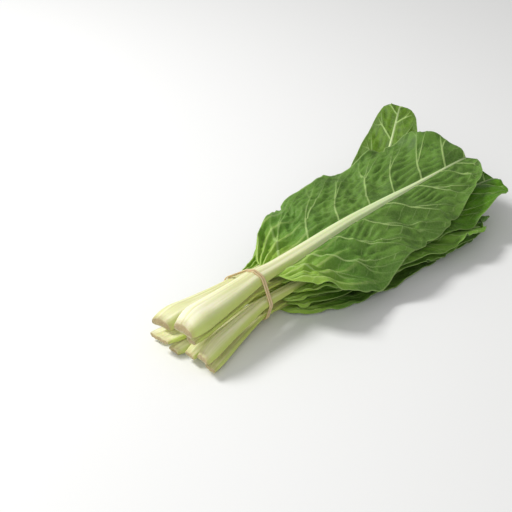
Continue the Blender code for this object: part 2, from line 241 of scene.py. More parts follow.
class Look(NamedTuple):
    node: str
    back: int  # 1 with the ribbed back up, -1 with it down
    step: float  # between the fine grid's points on the blade
    ruffle: float  # height of the waves along the margins
    frill: float  # how much higher they are at the base of the blade
    curl: float  # share of the full turn that its margins roll over by
    ragged: float  # how much its margins wander and are torn
    arch: float  # how high the left half of its end arches up
    green: tuple  # the blade's colour on its face
    unripe: float  # from 0, a cream stalk, to 1, a yellow-green one
    seed: int


LOOKS = (
    Look("bottom_leaf", 1, 0.0022, 0.0050, 1.0, 1.0, 1.0, 0.0, (0.060, 0.160, 0.012), 0.6, 11),
    Look("lower_right_leaf", -1, 0.0020, 0.0080, 1.4, 1.0, 1.0, 0.0, (0.085, 0.215, 0.014), 0.9, 12),
    Look("lower_left_leaf", -1, 0.0022, 0.0075, 1.3, 1.0, 1.0, 0.0, (0.070, 0.180, 0.012), 0.5, 13),
    Look("inner_right_leaf", 1, 0.0020, 0.0080, 1.4, 1.0, 1.0, 0.0, (0.075, 0.195, 0.013), 0.7, 14),
    Look("inner_left_leaf", -1, 0.0022, 0.0075, 1.3, 1.0, 1.0, 0.0, (0.070, 0.175, 0.012), 0.9, 15),
    Look("right_leaf", 1, 0.0018, 0.0085, 1.5, 1.0, 1.0, 0.0, (0.085, 0.220, 0.014), 0.7, 16),
    Look("long_leaf", -1, 0.0018, 0.0060, 1.0, 0.2, 0.5, 0.0, (0.080, 0.215, 0.001), 0.8, 17),
    Look("left_leaf", 1, 0.0016, 0.0045, 1.4, 0.2, 0.35, 0.0, (0.064, 0.158, 0.005), 0.6, 18),
    Look("top_leaf", 1, 0.0013, 0.0055, 1.5, 0.3, 0.8, 0.014, (0.066, 0.172, 0.014), 0.1, 19),
)


def smooth(low, high, x):
    """0 below low, 1 above high, and a smooth rise between them."""
    share = np.clip((x - low) / (high - low), 0, 1)
    return share * share * (3 - 2 * share)


def between_values(grid, i, j, a, b):
    """A grid's values, read a and b of the way from i and j to the next."""
    near = grid[i, j] * (1 - b) + grid[i, j + 1] * b
    far = grid[i + 1, j] * (1 - b) + grid[i + 1, j + 1] * b
    return near * (1 - a) + far * a


def noise(x, y, size, seed):
    """Smooth noise from -1 to 1 over a plane, with features about size across."""
    lattice = np.random.default_rng(seed).uniform(-1, 1, (LATTICE, LATTICE))
    u, v = x / size + LATTICE_START, y / size + LATTICE_START
    i, j = np.floor(u).astype(int), np.floor(v).astype(int)
    a, b = smooth(0, 1, u - i), smooth(0, 1, v - j)
    i, j = i % (LATTICE - 1), j % (LATTICE - 1)
    return between_values(lattice, i, j, a, b)


def hollows(u, v, seed):
    """0 at points scattered one to each square of the plane, and a bowl round each up to a sharp crest."""
    points = np.random.default_rng(seed).uniform(*HOLLOW_SPREAD, (HOLLOW_LATTICE, HOLLOW_LATTICE, 2))
    i, j = np.floor(u).astype(int), np.floor(v).astype(int)
    nearest = np.full(u.shape, np.inf)
    for a in (i - 1, i, i + 1):
        for b in (j - 1, j, j + 1):
            point = points[a % HOLLOW_LATTICE, b % HOLLOW_LATTICE]
            away = (a + point[..., 0] - u) ** 2 + (b + point[..., 1] - v) ** 2
            nearest = np.minimum(nearest, away)
    return nearest


def curve_through(places, values, wanted):
    """A smooth curve through values at places, along the first axis, read at wanted."""
    slopes = np.gradient(values, places, axis=0)
    k = np.clip(np.searchsorted(places, wanted, side="right") - 1, 0, len(places) - 2)
    width = places[k + 1] - places[k]
    u = (wanted - places[k]) / width
    shape = (-1,) + (1,) * (values.ndim - 1)
    u, width = u.reshape(shape), width.reshape(shape)
    blend = u * u * (3 - 2 * u)
    bends = width * (u * (1 - u) ** 2 * slopes[k] - u * u * (1 - u) * slopes[k + 1])
    return values[k] * (1 - blend) + values[k + 1] * blend + bends


class CadLeaf:
    """A CAD leaf's own grid, read back from its node: its stations, and both skins at each column."""

    def __init__(self, node):
        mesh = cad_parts[node].data
        points = np.unique(np.round([vertex.co for vertex in mesh.vertices], 6), axis=0)
        self.cut = points[points[:, 0] < points[:, 0].min() + END_DEPTH, :2].mean(axis=0)
        away = np.linalg.norm(points[:, :2] - self.cut, axis=1)
        tip = points[away > away.max() - TIP_DEPTH, :2].mean(axis=0)
        self.length = np.linalg.norm(tip - self.cut)
        self.along = (tip - self.cut) / self.length
        self.aside = np.array((-self.along[1], self.along[0]))
        place = (points[:, :2] - self.cut) @ self.along
        points, place = points[np.argsort(place)], np.sort(place)
        breaks = np.flatnonzero(np.diff(place) > ROW_APART) + 1
        rows = [self.columns(row) for row in np.split(points, breaks)]
        self.stations = np.array([part.mean() for part in np.split(place, breaks)])
        self.stations[[0, -1]] = 0, self.length
        self.across, self.low, self.high = np.moveaxis(np.array(rows), 2, 0)
        self.blade_at = self.stations[CAD_STALK_ROWS - 1]

    def columns(self, row):
        """One station's columns from right to left, each with its place across and the z of both skins."""
        across = (row[:, :2] - self.cut) @ self.aside
        order = np.argsort(across)
        breaks = np.flatnonzero(np.diff(across[order]) > COLUMN_APART) + 1
        parts = np.split(order, breaks)
        # Where a leaf lies flat on the floor the CAD has no lower vertex of its own.
        lows = [row[part, 2].min() if len(part) > 1 else 0 for part in parts]
        highs = [row[part, 2].max() for part in parts]
        pairs = np.column_stack([[across[part].mean() for part in parts], lows, highs])
        # Where its upper skin is flat as well, a whole column may be missing from the middle of a wing.
        while CAD_RIB < len(pairs) < 2 * CAD_WING + CAD_RIB:
            widest = np.diff(pairs[:, 0]).argmax()
            pairs = np.insert(pairs, widest + 1, pairs[widest : widest + 2].mean(axis=0), axis=0)
        if len(pairs) == CAD_RIB:
            pairs = np.pad(pairs, ((CAD_WING, CAD_WING), (0, 0)), mode="edge")
        return pairs


class FineLeaf:
    """The visible leaf: a fine grid of rows and columns fitted to a CAD leaf, with its relief."""

    def __init__(self, look):
        self.look, self.cad = look, CadLeaf(look.node)
        self.place_rows()
        self.place_columns()
        self.lay_veins()
        self.middle = self.middle_surface()
        self.section()

    def place_rows(self):
        cad = self.cad
        stalk = np.linspace(0, cad.blade_at, round(cad.blade_at / STALK_STEP) + 1)
        count = round((cad.length - cad.blade_at) / self.look.step)
        even = np.arange(1, count + 1) / count
        crowded = (1 - np.cos(math.pi * even)) / 2
        share = even + END_CROWDING * (crowded - even)
        self.rows = np.concatenate([stalk, cad.blade_at + share * (cad.length - cad.blade_at)])
        self.blade_row = len(stalk) - 1
        self.t = np.clip((self.rows - cad.blade_at) / (cad.length - cad.blade_at), 0, 1)

    def cut_share(self):
        """1 at the cut end, and 0 where the stalk is whole."""
        return np.clip(1 - self.rows / END_TAPER, 0, 1)

    def wing(self, outer, inner, rib):
        """How far the blade reaches past the rib on one side."""
        cad = self.cad
        stations = cad.stations[CAD_STALK_ROWS - 1 :]
        reach = np.abs(cad.across[:, outer] - cad.across[:, inner])[CAD_STALK_ROWS - 1 :]
        cad_rib = np.abs(cad.across[:, inner] - cad.across[:, CAD_MIDDLE])[CAD_STALK_ROWS - 1 :]
        outline = reach + cad_rib
        widest = outline.max()
        peak = stations[outline.argmax()]
        # A smooth curve can follow the outline once its round ends are drawn out.
        before, past = CAD_FULLNESS
        power, row_power = (np.where(at > peak, past, before) for at in (stations, self.rows))
        plain = (outline / widest) ** (1 / power)
        plain[[0, -1]] = 0
        found = widest * np.maximum(curve_through(stations, plain, self.rows), 0) ** row_power
        return np.where(self.t > 0, np.maximum(found - rib, 0), 0)

    def tear(self, reach, rng):
        """Cuts small notches into a margin."""
        for _ in range(TEARS):
            place, width = rng.uniform(*TEARS_OVER), rng.uniform(*TEAR_WIDTH)
            away = np.abs(self.rows - self.cad.blade_at - place * (self.cad.length - self.cad.blade_at))
            depth = self.look.ragged * rng.uniform(*TEAR_DEPTH)
            reach *= 1 - depth * np.maximum(1 - away / width, 0)

    def place_columns(self):
        cad, look = self.cad, self.look
        first, last = CAD_WING, CAD_WING + CAD_RIB - 1
        centre = curve_through(cad.stations, cad.across[:, CAD_MIDDLE], self.rows)
        self.rib = curve_through(cad.stations, (cad.across[:, last] - cad.across[:, first]) / 2, self.rows)
        self.thins = np.interp(self.t, *RIB_THINS)
        self.rib *= (1 - END_SHRINK * self.cut_share() ** 2) * self.thins
        wings = [self.wing(-1, last, self.rib), self.wing(0, first, self.rib)]
        rng = np.random.default_rng(look.seed)
        for side, reach in enumerate(wings):
            for n, (size, share) in enumerate(MARGIN_WANDER):
                wander = noise(self.rows, 0 * self.rows, size, look.seed + SEED_MARGIN + side + 2 * n)
                reach *= 1 + look.ragged * share * wander
            self.tear(reach, rng)
        self.widest = [reach.max() for reach in wings]
        counts = [round(widest / look.step) for widest in self.widest]
        left, right = (np.arange(1, count + 1) / count for count in counts)
        over_rib = np.sin(np.linspace(-math.pi / 2, math.pi / 2, RIB_STEPS + 1))
        share = np.concatenate([-right[::-1], 0 * over_rib, left])
        side = np.concatenate([-np.ones_like(right), over_rib, np.ones_like(left)])
        self.share = share + 0 * self.rows[:, None]
        self.side = side + 0 * self.rows[:, None]
        self.on_rib = slice(len(right), len(right) + RIB_STEPS + 1)
        self.gap = np.abs(self.share) * np.where(self.share > 0, wings[0][:, None], wings[1][:, None])
        across = centre[:, None] + self.rib[:, None] * self.side + self.gap * np.sign(self.share)
        self.x = cad.cut[0] + self.rows[:, None] * cad.along[0] + across * cad.aside[0]
        self.y = cad.cut[1] + self.rows[:, None] * cad.along[1] + across * cad.aside[1]

    def middle_surface(self):
        """The height of the middle of the blade, as the CAD leaf has it."""
        cad = self.cad
        blade = (cad.high - cad.low)[CAD_STALK_ROWS + 2, 0]
        self.swell = np.maximum((cad.high - cad.low)[:, CAD_MIDDLE] - blade, 0)
        above = CAD_RIB_ABOVE if self.look.back > 0 else 1 - CAD_RIB_ABOVE
        rib = cad.high[:, CAD_MIDDLE] - blade / 2 - above * self.swell
        wings = (cad.high + cad.low) / 2
        wings[:CAD_STALK_ROWS] = rib[:CAD_STALK_ROWS, None]
        wings[-1] = rib[-1]
        columns = np.column_stack([wings[:, :CAD_WING], rib, wings[:, -CAD_WING:]])
        places = np.linspace(-1, 1, 2 * CAD_WING + 1)
        rows = curve_through(cad.stations, columns, self.rows)
        self.swell = np.maximum(curve_through(cad.stations, self.swell, self.rows), LEAST_RIB)
        return curve_through(places, rows.T, self.share[0]).T

    def lay_veins(self):
        """Numbers the side veins: vein is a whole number along each one, fork and twig along its arms.

        pitch is how far apart they are, and pleat numbers the folds at the base of the blade.
        """
        seed, side, v = self.look.seed, np.sign(self.share), np.abs(self.share)
        length = self.cad.length - self.cad.blade_at
        bend = VEIN_BEND * self.gap / np.where(self.share > 0, *self.widest)
        left_rib_at = self.rows[:, None] - self.gap * (VEIN_SLANT + bend)
        along = np.linspace(*VEIN_COUNT_OVER)
        spacing = np.interp(along, *VEIN_SPACING)
        count = np.cumsum(1 / spacing) * (along[1] - along[0]) * length
        self.vein = np.interp((left_rib_at - self.cad.blade_at) / length, along, count)
        size, share = VEIN_WOBBLE
        from_rib = smooth(0.0, VEIN_WOBBLE_FROM, self.gap)
        wander = share * from_rib * noise(self.rows[:, None], self.gap * side, size, seed)
        size, share = VEIN_UNEVEN
        uneven = share * noise(left_rib_at, SIDES_APART * side, size, seed + SEED_UNEVEN)
        self.vein = self.vein + wander + uneven + np.where(side > 0, 0.0, RIGHT_VEINS_AHEAD)
        size, share = FORK_UNEVEN
        late = share * noise(left_rib_at, SIDES_APART * side, size, seed + SEED_FORKS)
        self.fork = self.vein - FORK_STRAY * np.maximum(v - FORK_AT - late, 0)
        self.twig = self.vein + TWIG_STRAY * np.maximum(v - TWIG_AT + late, 0)
        slope = VEIN_SLANT + 2 * bend
        here = np.interp((left_rib_at - self.cad.blade_at) / length, *VEIN_SPACING)
        self.pitch = here / np.sqrt(1 + slope * slope)
        size, share = PLEAT_WANDER
        wander = noise(self.rows[:, None], self.gap * side, size, seed + SEED_PLEATS)
        self.pleat = PLEATS * (v + share * wander)

    def whole_from(self, gap, share):
        """0 at the rib and at the base of the blade, and 1 at this distance and share from them."""
        return smooth(0.0, gap, self.gap) * smooth(0.0, share, self.t)[:, None]

    def pits(self, where):
        """The hollows in the back, of uneven depth and out of line."""
        seed = self.look.seed
        size, mean, more = HOLLOW_ROUGH
        rough = mean + more * noise(*where, size, seed + SEED_ROUGH)
        size, stray = HOLLOWS_STRAY
        astray, ahead = (stray * noise(*where, size, seed + n) for n in SEEDS_STRAY)
        u, v = where[1] / HOLLOW + astray, self.vein * HOLLOWS_BETWEEN + ahead
        bowls = hollows(u, v, seed + SEED_HOLLOWS)
        return HOLLOW_DEPTH * rough * bowls

    def rungs(self, where, field):
        """The folds that run from side vein to side vein, in patches."""
        seed = self.look.seed
        size, stray = RUNG_WANDER
        crossing = self.gap / RUNG + stray * noise(*where, size, seed + SEED_RUNGS)
        folded = smooth(*RUNG_PATCH_RISE, noise(*where, RUNG_PATCH, seed + SEED_FOLDED))
        wave = 0.5 + 0.5 * np.sin(2 * math.pi * crossing)
        return RUNG_HEIGHT * folded * field * wave**RUNG_SHARPNESS

    def relief(self):
        """Side veins stand out of the back, and between them are hollows, folds and bulges."""
        look, v = self.look, np.abs(self.share)
        phases = (self.vein, self.fork, self.twig)
        between = np.min([0.5 - np.abs(phase % 1 - 0.5) for phase in phases], axis=0)
        width = VEIN_WIDTH[0] + (VEIN_WIDTH[1] - VEIN_WIDTH[0]) * v
        fading = 1 - VEIN_FADES * smooth(*VEIN_FADES_OVER, v)
        veins = VEIN_HEIGHT * fading * np.exp(-((between * self.pitch / width) ** 2))
        where = self.rows[:, None], self.gap * np.sign(self.share)
        field = np.sin(math.pi * between)
        folds = self.pits(where) + self.rungs(where, field)
        # How high each place stands in its folds, which the material reads to paint shade into the hollows.
        self.crest = smooth(0.0, SHADE_CREST, folds)
        seed = look.seed + SEED_CRUMPLE
        dents = sum(high * noise(*where, size, seed + n) for n, (size, high) in enumerate(CRUMPLE))
        inside = self.whole_from(*RELIEF_FROM) * (1 - CALM_MARGIN * smooth(*CALM_MARGIN_OVER, v))
        inside = inside * (1 - CALM_END * smooth(*CALM_END_OVER, self.t))[:, None]
        body = LOFT + dents + look.back * (folds - BULGE * field**2)
        return look.back * self.whole_from(*VEIN_FROM) * veins + inside * body

    def ruffles(self):
        """Waves along the margins, shorter and higher at the base, and the pleats and the arched end."""
        look, v = self.look, np.abs(self.share)
        base = 1 - smooth(*FRILL_OVER, self.t)[:, None]
        where = self.rows[:, None], SIDES_APART * np.sign(self.share) + RUFFLE_SLANT * self.gap
        fade = smooth(0.0, RUFFLES_FROM, self.t)[:, None]
        seed = look.seed + SEED_RUFFLES
        waves = sum(share * noise(*where, size, seed + n) for n, (size, share) in enumerate(RUFFLES))
        frill = look.frill * base * noise(*where, FRILL, look.seed + SEED_FRILL)
        pleats = (1 - smooth(*PLEATS_OVER, self.t))[:, None] * np.sin(2 * math.pi * self.pleat)
        pleats = pleats * smooth(0.0, PLEATS_FROM, v)
        margin = look.ruffle * (v**3 * (waves + RUFFLES_UP) + v**2 * frill)
        arch = look.arch * smooth(*ARCH_OVER, self.t)[:, None] * np.sin(math.pi * np.maximum(self.share, 0))
        return arch + fade * (margin + PLEAT_HEIGHT * pleats)

    def curl(self):
        """Rolls stretches of both margins up and over, where the air above lets them."""
        for sign in (1, -1):
            here = np.sign(self.share) == sign
            edge = (self.gap * here).max(axis=1)
            strip = np.minimum(CURL, CURL_MOST * edge) + 1e-6
            past = np.maximum(self.gap - (edge - strip)[:, None], 0) * here
            room = np.where(past > 0, self.room, FREE).min(axis=1)
            spots = noise(self.rows, 0 * self.rows + sign, CURL_LENGTH, self.look.seed + SEED_CURL)
            ends = smooth(*CURL_STARTS, self.t) * (1 - smooth(*CURL_ENDS, self.t))
            turn = CURL_TURN * self.look.curl * smooth(*CURL_RISE, spots) * ends
            turn = turn * smooth(*CURL_ROOM, room) + CURL_LEAST
            radius, angle = (strip / turn)[:, None], (turn / strip)[:, None] * past
            inward = sign * (past - radius * np.sin(angle))
            self.x = self.x - inward * self.cad.aside[0]
            self.y = self.y - inward * self.cad.aside[1]
            self.move_by(radius * (1 - np.cos(angle)) * here)

    def skins(self):
        """The points of both skins, square to a blade and one above the other on a stalk or rib."""
        middle = np.stack([self.x, self.y, (self.high + self.low) / 2], axis=-1)
        square = np.cross(np.gradient(middle, axis=0), np.gradient(middle, axis=1))
        square = square / np.maximum(np.linalg.norm(square, axis=-1, keepdims=True), 1e-12)
        square[:, self.on_rib] = 0, 0, 1
        half = ((self.high - self.low) / 2)[..., None] * square
        return middle + half, middle - half

    def section(self):
        """Both skins, from the middle surface, the thin blade, and the rib's or stalk's own section."""
        on_rib = self.share == 0
        c = self.side * on_rib
        rounded = np.where(on_rib, np.maximum(1 - np.abs(c) ** STALK_POWER, 0) ** (1 / STALK_POWER), 0)
        ridges = sum(height * np.cos(math.pi * waves * c + self.look.seed) for waves, height in RIDGES)
        ridges = ridges * (1 - smooth(0.0, RIDGES_OVER, self.t))[:, None] * rounded
        shrunk = 1 - END_FLATTENS * END_SHRINK * self.cut_share() ** 2
        swell = (self.swell * shrunk * self.thins)[:, None]
        stalk = 1 - smooth(0.0, STALK_OVER, self.t)[:, None]
        outer = CAD_RIB_ABOVE * swell * rounded + ridges
        hollow = 1 - STALK_HOLLOW * stalk * (1 - c * c) ** 2
        inner = (1 - CAD_RIB_ABOVE) * swell * rounded * hollow
        above, below = (outer, inner) if self.look.back > 0 else (inner, outer)
        thick = BLADE / 2 + STALK_EDGE * stalk * on_rib
        self.high = self.middle + thick + above
        self.low = self.middle - thick - below

    def move_by(self, rise):
        self.high = self.high + rise
        self.low = self.low + rise


class FloorMap:
    """Heights over the cells of a map of the floor."""

    def __init__(self):
        low, high = CAD_BOX
        self.corner = np.array((low.x - MAP_MARGIN, low.y - MAP_MARGIN))
        size = np.array((high.x + MAP_MARGIN, high.y + MAP_MARGIN)) - self.corner
        self.shape = tuple(np.ceil(size / CELL).astype(int))

    def spots(self, leaf):
        """The cells that lie under a leaf, one for each of its places."""
        x, y = fill_in(leaf.x), fill_in(leaf.y)
        i = np.clip(((x - self.corner[0]) / CELL).astype(int), 0, self.shape[0] - 2)
        j = np.clip(((y - self.corner[1]) / CELL).astype(int), 0, self.shape[1] - 2)
        return i, j

    def lowest(self, leaf):
        cells = np.full(self.shape, np.inf)
        np.minimum.at(cells, self.spots(leaf), fill_in(leaf.low))
        return cells

    def highest(self, leaf):
        cells = np.full(self.shape, -np.inf)
        np.maximum.at(cells, self.spots(leaf), fill_in(leaf.high))
        return cells

    def read(self, cells, leaf):
        """A map's values at a leaf's points, evened out between the cells."""
        u, v = (leaf.x - self.corner[0]) / CELL - 0.5, (leaf.y - self.corner[1]) / CELL - 0.5
        i = np.clip(np.floor(u).astype(int), 0, self.shape[0] - 2)
        j = np.clip(np.floor(v).astype(int), 0, self.shape[1] - 2)
        a, b = np.clip(u - i, 0, 1), np.clip(v - j, 0, 1)
        return between_values(cells, i, j, a, b)


def add_relief(leaves):
    """Gives every leaf its relief, which takes no more than half the air between it and the next."""
    floor_map = FloorMap()
    lows = [floor_map.lowest(leaf) for leaf in leaves]
    highs = [floor_map.highest(leaf) for leaf in leaves]
    for n, leaf in enumerate(leaves):
        over = np.min([np.full(floor_map.shape, np.inf), *lows[n + 1 :]], axis=0)
        under = np.max([np.zeros(floor_map.shape), *highs[:n]], axis=0)
        with np.errstate(invalid="ignore"):
            up = np.nan_to_num((over - highs[n] - CLEARANCE) / 2, nan=FREE, posinf=FREE)
            down = np.nan_to_num((lows[n] - under - CLEARANCE) / 2, nan=FREE, posinf=FREE)
        up, down = (floor_map.read(least(np.clip(room, TIGHT, FREE)), leaf) for room in (up, down))
        leaf.room = up
        rise = leaf.relief() + leaf.ruffles()
        limit = np.where(rise > 0, up, down)
        leaf.move_by(limit * np.tanh(rise / limit))


def lay_again(leaves):
    """Lifts each leaf, lowest first, wherever it still cuts into what lies under it."""
    floor_map = FloorMap()
    top = np.zeros(floor_map.shape)
    for leaf in leaves:
        needed = np.where(top > 0, top + CLEARANCE, 0) - floor_map.lowest(leaf)
        leaf.move_by(floor_map.read(eased(np.maximum(needed, 0)), leaf))
        top = np.maximum(top, floor_map.highest(leaf))


def neighbours(values, reach, how):
    """Each cell's value made from those within reach of it."""
    for axis in (0, 1):
        values = how([np.roll(values, n, axis) for n in range(-reach, reach + 1)], axis=0)
    return values


def least(room):
    """A smooth map that is nowhere over room."""
    return FREE - eased(FREE - room)


def eased(lift):
    """A smooth map that is nowhere under lift: its highest near each cell, then averaged no further off."""
    lift = neighbours(lift, EASING, np.max)
    for _ in range(EASING_TIMES):
        lift = neighbours(lift, EASING // EASING_TIMES, np.mean)
    return lift


def fill_in(values):
    """A grid's values with FILL times as many places each way."""
    for _ in range(2):
        steps = (np.arange(FILL) / FILL)[:, None, None]
        values = values[:-1] * (1 - steps) + values[1:] * steps
        values = np.moveaxis(values, 0, 1).reshape(-1, values.shape[2]).T
    return values


class Skin:
    """Collects the vertices, faces and named vertex values of one mesh."""

    def __init__(self):
        self.points, self.faces, self.values = [], [], []

    def add_points(self, points, values):
        start = sum(len(part) for part in self.points)
        self.points.append(points)
        self.values.append(values)
        return start

    def add_grid(self, index, flip):
        """The faces of a grid of vertex numbers. Where a row's numbers repeat, they are triangles."""
        corners = [index[:-1, :-1], index[1:, :-1], index[1:, 1:], index[:-1, 1:]]
        quads = np.stack([corner.ravel() for corner in corners], axis=1)
        start, end = quads[:, 0] == quads[:, 3], quads[:, 1] == quads[:, 2]
        for faces in (quads[~start & ~end], quads[start & ~end][:, :3], quads[end & ~start][:, [0, 1, 3]]):
            self.faces += (faces[:, ::-1] if flip else faces).tolist()

    def mesh(self, name, names):
        data = bpy.data.meshes.new(name)
        data.from_pydata(np.vstack(self.points).tolist(), [], self.faces)
        for title, column in zip(names, np.vstack(self.values).T):
            values = data.attributes.new(title, "FLOAT", "POINT").data
            values.foreach_set("value", column.astype(np.float32))
        data.shade_smooth()
        return data


VALUES = ("rib_gap", "rib_side", "blade_share", "reach", "vein", "fork", "twig", "vein_pitch", "pleat",
          "crest", "back", "cut_end")


def leaf_values(leaf, back, keep):
    """What the leaf's material reads at each vertex of a skin."""
    cad = leaf.cad
    reach = np.where(leaf.rows < cad.blade_at, leaf.rows / cad.blade_at - 1, leaf.t)
    columns = (leaf.gap, leaf.side, np.abs(leaf.share), reach[:, None] + 0 * leaf.gap,
               leaf.vein, leaf.fork, leaf.twig, leaf.pitch, leaf.pleat, leaf.crest, back + 0 * leaf.gap,
               0 * leaf.gap)
    return np.stack([column[keep] for column in columns], axis=1)


def add_leaf(leaf, material):
    """The leaf's closed mesh: two skins, the margins between them, and a cap over the cut end."""
    skin = Skin()
    rows, columns = leaf.x.shape
    narrow = (np.arange(rows) <= leaf.blade_row) | (np.arange(rows) == rows - 1)
    keep = np.ones((rows, columns), bool)
    keep[narrow] = False
    keep[narrow, leaf.on_rib] = True
    held = np.clip(np.arange(columns), leaf.on_rib.start, leaf.on_rib.stop - 1)
    number = (np.cumsum(keep) - 1).reshape(keep.shape)
    number[narrow] = number[narrow][:, held]
    grids = []
    for points, back in zip(leaf.skins(), (leaf.look.back > 0, leaf.look.back < 0)):
        start = skin.add_points(points[keep], leaf_values(leaf, float(back), keep))
        grids.append(start + number)
    high, low = grids
    skin.add_grid(high, False)
    skin.add_grid(low, True)
    skin.add_grid(np.stack([high[:, 0], low[:, 0]], axis=1), True)
    skin.add_grid(np.stack([high[:, -1], low[:, -1]], axis=1), False)
    skin.add_grid(np.stack([high[-1], low[-1]]), False)
    add_cap(skin, leaf, high[0], low[0])
    data = skin.mesh(leaf.look.node + "_detail", VALUES)
    return add_piece(data, material, leaf.look.node)


def add_cap(skin, leaf, high, low):
    """The cut end: layers of vertices from the upper skin to the lower one, a little rough."""
    inner = slice(leaf.on_rib.start, leaf.on_rib.stop)
    layers = [high[inner]]
    for layer in range(1, CAP_LAYERS):
        share = layer / CAP_LAYERS
        z = leaf.high[0, inner] * (1 - share) + leaf.low[0, inner] * share
        x, y = leaf.x[0, inner], leaf.y[0, inner]
        out = CUT_ROUGH * noise(y, z, CUT_ROUGH_SIZE, leaf.look.seed + SEED_CUT_END) - CUT_SINKS
        points = np.stack([x + out * leaf.cad.along[0], y + out * leaf.cad.along[1], z], axis=1)
        values = np.zeros((len(points), len(VALUES)))
        values[:, VALUES.index("reach")] = -1
        values[:, VALUES.index("cut_end")] = 1
        layers.append(skin.add_points(points, values) + np.arange(len(points)))
    layers.append(low[inner])
    skin.add_grid(np.stack(layers), True)


def add_piece(data, material, node):
    piece = bpy.data.objects.new(data.name, data)
    bpy.context.scene.collection.objects.link(piece)
    data.materials.append(material)
    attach(piece, "root")
    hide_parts(node)
    return piece


def band_hull(leaves, middle, reach):
    """The outline round all the stalks where the band goes, as y and z."""
    points = []
    for leaf in leaves:
        near = np.abs(leaf.x + BAND_SLANT * leaf.y - middle) < reach
        near[:, : leaf.on_rib.start] = False
        near[:, leaf.on_rib.stop :] = False
        for z in (leaf.high, leaf.low):
            points += list(zip(leaf.y[near].tolist(), z[near].tolist()))
    return [Vector(points[i]) for i in convex_hull_2d(points)]


def band_route(hull, middle, spacing):
    """The band's centreline: twice round the stalks, crossing itself once."""
    route = []
    low, high = BAND_CROSSING - BAND_CROSSING_WIDTH, BAND_CROSSING + BAND_CROSSING_WIDTH
    for turn in (1, -1):
        for step in range(BAND_ANGLES):
            angle = 2 * math.pi * step / BAND_ANGLES
            normal = Vector((math.cos(angle), math.sin(angle)))
            corner = max(hull, key=normal.dot)
            passed = float(smooth(low, high, angle))
            over = 0 if turn > 0 else math.exp(-(((angle - BAND_CROSSING) / BAND_CROSSING_WIDTH) ** 2))
            # The turns lie farthest apart a little below the left side.
            apart = spacing * (1 + BAND_SPREAD * max(math.cos(angle - BAND_SPREAD_AT), 0) ** 2)
            place = corner + normal * (BAND_DEPTH + BAND_GAP + over * BAND_OVER * BAND_DEPTH)
            along = middle - BAND_SLANT * place.x + turn * (1 - 2 * passed) * apart
            route.append((along, place.x, place.y))
    return np.array(route)


def even_route(route, count):
    """The same closed route with its points at even distances."""
    closed = np.vstack([route, route[:1]])
    walked = np.concatenate([[0], np.cumsum(np.linalg.norm(np.diff(closed, axis=0), axis=1))])
    wanted = np.arange(count) / count * walked[-1]
    even = np.stack([np.interp(wanted, walked, column) for column in closed.T], axis=1)
    for _ in range(BAND_SMOOTHING):
        even = even / 2 + (np.roll(even, 1, 0) + np.roll(even, -1, 0)) / 4
    return even


def add_band(leaves, material):
    points = np.array([vertex.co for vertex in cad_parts["rubber_band"].data.vertices])
    slanted = points[:, 0] + BAND_SLANT * points[:, 1]
    middle, spacing = (slanted.min() + slanted.max()) / 2, np.ptp(slanted) / 2 - BAND_WIDTH
    hull = band_hull(leaves, middle, 2 * spacing + STALK_STEP)
    route = even_route(band_route(hull, middle, spacing), BAND_POINTS)
    ahead = np.roll(route, -1, 0) - np.roll(route, 1, 0)
    ahead /= np.linalg.norm(ahead, axis=1)[:, None]
    centre = np.array([(middle, *(sum(hull, Vector((0, 0))) / len(hull)))])
    out = (route - centre) * (0, 1, 1)
    out -= (out * ahead).sum(axis=1)[:, None] * ahead
    out /= np.linalg.norm(out, axis=1)[:, None]
    across = np.cross(ahead, out)
    angles = np.arange(BAND_SIDES) / BAND_SIDES * 2 * math.pi
    # The strand's section is an oblong with rounded corners.
    flat, tall = (np.sign(f(angles)) * np.abs(f(angles)) ** BAND_SQUARENESS for f in (np.cos, np.sin))
    rings = route[:, None] + BAND_WIDTH * flat[:, None] * across[:, None]
    rings = rings + BAND_DEPTH * tall[:, None] * out[:, None]
    skin = Skin()
    skin.add_points(rings.reshape(-1, 3), np.zeros((rings.shape[0] * BAND_SIDES, 1)))
    number = np.arange(len(route) * BAND_SIDES).reshape(-1, BAND_SIDES)
    number = np.pad(number, ((0, 1), (0, 1)), mode="wrap")
    skin.add_grid(number, False)
    data = skin.mesh("rubber_band_detail", ("along",))
    return add_piece(data, material, "rubber_band")


